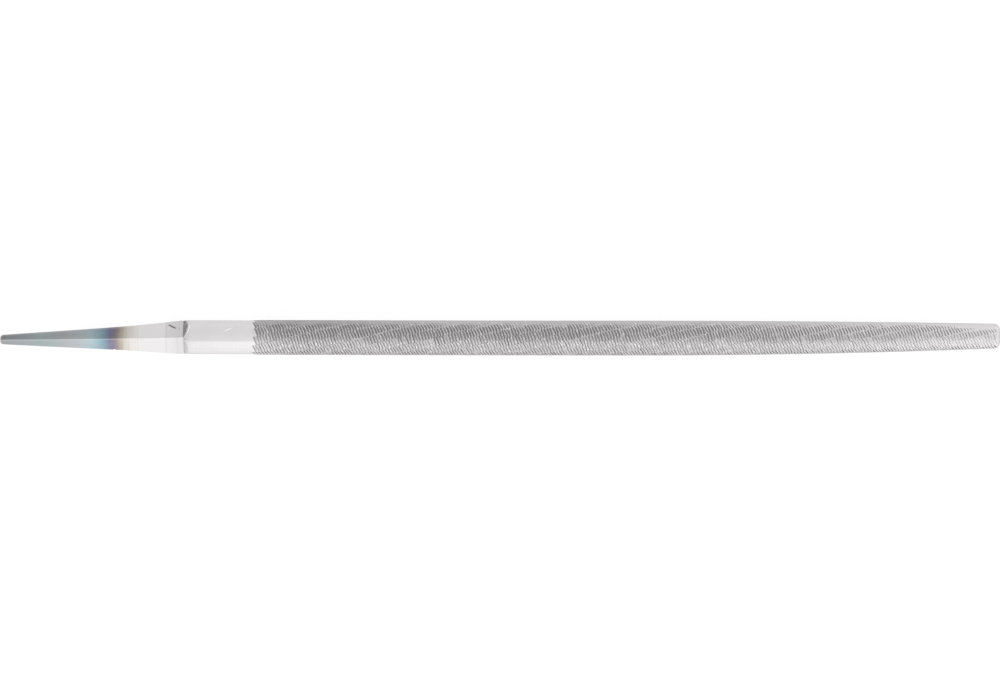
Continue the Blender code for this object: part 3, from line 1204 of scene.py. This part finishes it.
# %% Painted shade and grime in the grooves, painted light and shade on the taper
PAINTED_LIGHT_STEEL = (0.800, 0.780, 0.790)
GROOVE_TOP = (0.2, 0.95)
SIDE_EDGE = (0.80, 0.96)
SIDE_GRIME_AND_SHADE = 0.48
FOOT_EDGE = (0.60, 0.88)
FOOT_START = (0.5 * MM, 1.5 * MM)
FOOT_GRIME_AND_SHADE = 0.7
HEAD_LIGHT_START = (0.5 * MM, 3.0 * MM)
HEAD_LIGHT_SHARE = 0.15
SHADE_BAND_START = (tip_x - 100 * MM, tip_x - 85 * MM)
SHADE_BAND_THINS = (tip_x - 48 * MM, tip_x - 24 * MM)
SHADE_BAND_FOOT_EDGE = (-3.0 * MM, -1.0 * MM)
SHADE_BAND_HEAD_EDGE = (-0.2 * MM, 1.8 * MM)
SHADE_BAND_SHARE = 0.2
SHADE_BAND_THINNING = 0.5

# Painted shade, with some grime: the grooves darken towards the bar's sides, more on the foot side of
# the taper.
on_foot_half = (0.0 - off_axis).between(*FOOT_START)
foot_grime_and_shade = side_on.between(*FOOT_EDGE) * on_foot_half * into_taper * FOOT_GRIME_AND_SHADE
side_grime_and_shade = side_on.between(*SIDE_EDGE) * SIDE_GRIME_AND_SHADE
grime_and_shade = (1.0 - tooth_height.between(*GROOVE_TOP)) * (side_grime_and_shade + foot_grime_and_shade)
grimed_and_shaded = grime_and_shade.blend(fresh_teeth, SCALE_AND_SHADE_DARK)
# Painted light: the head side of the taper is lightened towards the point.
painted_light = into_taper * off_axis.between(*HEAD_LIGHT_START) * HEAD_LIGHT_SHARE
painted_lit = painted_light.blend(grimed_and_shaded, PAINTED_LIGHT_STEEL)
# Painted shade: a dark band along the middle of the taper, where the lit half meets the shaded one.
shade_band_along = along.between(*SHADE_BAND_START) - SHADE_BAND_THINNING * along.between(*SHADE_BAND_THINS)
shade_band_across = off_axis.between(*SHADE_BAND_FOOT_EDGE) * (1.0 - off_axis.between(*SHADE_BAND_HEAD_EDGE))
shade_banded = (shade_band_along * shade_band_across * SHADE_BAND_SHARE).blend(painted_lit, SCALE_AND_SHADE_DARK)
print("the painted shade band starts", round(1000 * (tip_x - SHADE_BAND_START[0])), "mm before the point")

# %% [markdown]
# The first cuts are brighter, because a stroke seldom starts on them. The worn strip is an even grey
# that pales towards the point, and near the heel the steel is darker towards the head side's edge.
# Where the steel is uncut it looks like the heel, a little duller at the nose.

# %% The cut steel
WORN_STEEL = (0.50, 0.487, 0.492)
WORN_AT_POINT = (0.70, 0.683, 0.690)
NOSE_END = (0.62, 0.605, 0.612)
FIRST_CUTS_END = (cut_x + 3 * MM, cut_x + 14 * MM)
FIRST_CUTS_SHARE = 0.33
WORN_EDGE = (0.5, 0.95)
DARKER_EDGE_END = (blade_x + 25 * MM, blade_x + 80 * MM)
DARKER_EDGE_ACROSS = (3.2 * MM, 4.8 * MM)
DARKER_EDGE_SHARE = 0.5
CHATTER = (1600.0, 1600.0, 1600.0)
CHATTER_DETAIL = 3.0
CUT_ROUGHNESS = 0.19
GROOVE_ROUGHNESS = 0.10
CHATTER_ROUGHNESS = 0.06
CUT_RELIEF = 0.006 * MM

first_cuts = (1.0 - along.between(*FIRST_CUTS_END)) * FIRST_CUTS_SHARE
worn_steel = towards_point.blend(WORN_STEEL, WORN_AT_POINT)
worn_teeth = worn.between(*WORN_EDGE).blend(first_cuts.blend(shade_banded, GROUND), worn_steel)
# Darker towards the head side's edge near the heel.
darker_edge = (1.0 - along.between(*DARKER_EDGE_END)) * off_axis.between(*DARKER_EDGE_ACROSS) * DARKER_EDGE_SHARE
cut_colour = uncut.blend(darker_edge.blend(worn_teeth, SCALE_AND_SHADE_DARK), towards_point.blend(GROUND, NOSE_END))
chatter = noise(place, CHATTER, CHATTER_DETAIL)
cut_roughness = CUT_ROUGHNESS + (1.0 - tooth_height) * GROOVE_ROUGHNESS + chatter * CHATTER_ROUGHNESS
steel(bench, cut_colour, cut_roughness, chatter, CUT_RELIEF, CUT_EDGE_TINT)

# %% [markdown]
# Each skin now gets its finish. The nose takes the cut steel's, because its first millimetres have
# teeth, and its rim and end face are marked as uncut.

# %% Give each skin its finish
for piece, finish in (
    (tang, tang_finish),
    (shoulder, ground_finish),
    (heel, ground_finish),
    (blade, cut_finish),
    (taper, cut_finish),
    (point, cut_finish),
):
    piece.data.materials.append(finish)
    print(f"{piece.name}: {finish.name}")

# %% [markdown]
# ## The table and the light
#
# The photograph shows the file from straight above on plain white. The floor is a white sheet: it
# scatters the light, and what the camera and the steel see of it is made up to white, so that the
# paper stays white while the file's own faint shadow stays on it.

# %% The sheet
FLOOR_SIDE = 10.0
FLOOR_GAP = 0.005 * MM

floor_height = min(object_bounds()[0].z, 0.0) - FLOOR_GAP
floor_corners = [(-1, -1), (1, -1), (1, 1), (-1, 1)]
floor_points = [(a * FLOOR_SIDE / 2, b * FLOOR_SIDE / 2, floor_height) for a, b in floor_corners]
floor_mesh = bpy.data.meshes.new("floor")
floor_mesh.from_pydata(floor_points, [], [(0, 1, 2, 3)])
floor = bpy.data.objects.new("floor", floor_mesh)
bpy.context.scene.collection.objects.link(floor)
print("floor height:", round(1000 * floor_height, 3), "mm")

# %% The paper
FLOOR_WHITE = (0.92, 0.92, 0.92)
FLOOR_GLOW_SHARE = 0.86
FLOOR_GLOW = 1.32
HEAD_GLOW = (0.803, 0.803, 0.803)
FOOT_SIDE_FROM = 0.0
FOOT_SIDE_TO = 35 * MM


def seen_directly(bench):
    """One for the camera's rays and for what gloss and glass show, nothing for scattered light."""
    camera_ray = bench.node("ShaderNodeLightPath", out="Is Camera Ray")
    glossy_ray = bench.node("ShaderNodeLightPath", out="Is Glossy Ray")
    clear_ray = bench.node("ShaderNodeLightPath", out="Is Transmission Ray")
    return (camera_ray + glossy_ray + clear_ray).between(0.0, 1.0)


paper, bench = new_finish("paper")
_, _, off_axis = place_on(bench)
# Painted light: towards the foot side the glow rises above white. The camera still sees white paper, but
# the steel reflects it as extra light on its lower half.
towards_foot = (0.0 - off_axis).between(FOOT_SIDE_FROM, FOOT_SIDE_TO)
glow_colour = towards_foot.blend(HEAD_GLOW, WHITE)
glow = bench.node("ShaderNodeEmission", None, {"Color": glow_colour, "Strength": FLOOR_GLOW})
scatter = bench.node("ShaderNodeBsdfDiffuse", None, {"Color": colour(FLOOR_WHITE)})
shown = bench.node("ShaderNodeMixShader", None, {0: FLOOR_GLOW_SHARE, 1: scatter, 2: glow})
sheet = bench.node("ShaderNodeMixShader", None, {0: seen_directly(bench), 1: scatter, 2: shown})
bench.node("ShaderNodeOutputMaterial", None, {"Surface": sheet})
floor_mesh.materials.append(paper)
print("nodes in the paper:", len(bench.tree.nodes))

# %% [markdown]
# The room is an even soft white, like a light tent, with one darker side beyond the tang's end. Metal
# shows only what is around it, and without a darker side the teeth would hardly be seen. A large soft
# box stands on the foot side and brightens that half of the bar.

# %% The room
ROOM_WHITE = (1.03, 1.03, 1.03)
DARK_SIDE = (-0.92, 0.26, 0.30)
DARK_SHARE = 0.65
DARK_RIM = 0.41
DARK_CORE = 0.80

room = bpy.data.worlds.new("light_tent")
bpy.context.scene.world = room
room.use_nodes = True
room.node_tree.nodes.clear()
bench = Wire(room.node_tree)
looking = bench.node("ShaderNodeTexCoord", out="Generated")
dot_inputs = {0: looking, 1: DARK_SIDE}
towards_dark = bench.node("ShaderNodeVectorMath", {"operation": "DOT_PRODUCT"}, dot_inputs, "Value")
darkened = towards_dark.between(DARK_RIM, DARK_CORE) * DARK_SHARE
camera_ray = bench.node("ShaderNodeLightPath", out="Is Camera Ray")
tent = camera_ray.blend(darkened.blend(ROOM_WHITE, BLACK), WHITE)
air = bench.node("ShaderNodeBackground", None, {"Color": tent, "Strength": 1.0})
bench.node("ShaderNodeOutputWorld", None, {"Surface": air})
print("level of the tent's dark side:", round(ROOM_WHITE[0] * (1.0 - DARK_SHARE), 2))

# %% [markdown]
# The box is given by its two long edges, each at an angle from straight up and at a distance from the
# file. Its power is set for an even glow over its whole face.

# %% The soft box
BOX_TOP_TILT = math.radians(28.0)
BOX_TOP_REACH = 2.0
BOX_FOOT_TILT = math.radians(88.0)
BOX_FOOT_REACH = 2.4
BOX_LENGTH = 8.0
BOX_GLOW = 0.25

top_edge = np.array([-math.sin(BOX_TOP_TILT), math.cos(BOX_TOP_TILT)]) * BOX_TOP_REACH
foot_edge = np.array([-math.sin(BOX_FOOT_TILT), math.cos(BOX_FOOT_TILT)]) * BOX_FOOT_REACH
rise = top_edge - foot_edge
middle = (top_edge + foot_edge) / 2
box_width = float(np.linalg.norm(rise))
lamp = bpy.data.lights.new("soft_box", "AREA")
lamp.shape = "RECTANGLE"
lamp.size = BOX_LENGTH
lamp.size_y = box_width
lamp.energy = BOX_GLOW * math.pi * BOX_LENGTH * box_width
soft_box = bpy.data.objects.new("soft_box", lamp)
soft_box.location = (0.0, middle[0], middle[1])
soft_box.rotation_euler = (math.atan2(rise[1], rise[0]), 0.0, 0.0)
soft_box.visible_camera = False
bpy.context.scene.collection.objects.link(soft_box)
print("soft box:", round(box_width, 2), "m wide,", round(lamp.energy, 1), "W")

# %% [markdown]
# ## The camera
#
# The picture looks straight down with a long lens, so the bar shows almost no perspective. The tang
# points left, and the full length of the file fills the frame.

# %% The camera
LENS = 250.0
SENSOR = 36.0
AIM = (-0.07 * MM, 0.07 * MM)

picture_width = tip_x - tang_x
camera = bpy.data.cameras.new("camera")
camera.lens = LENS
camera.sensor_width = SENSOR
camera_object = bpy.data.objects.new("camera", camera)
camera_object.location = (*AIM, axis_height + picture_width * LENS / SENSOR)
bpy.context.scene.collection.objects.link(camera_object)
bpy.context.scene.camera = camera_object
bpy.context.scene.view_settings.view_transform = "Standard"
print("camera height:", round(camera_object.location.z, 3), "m")
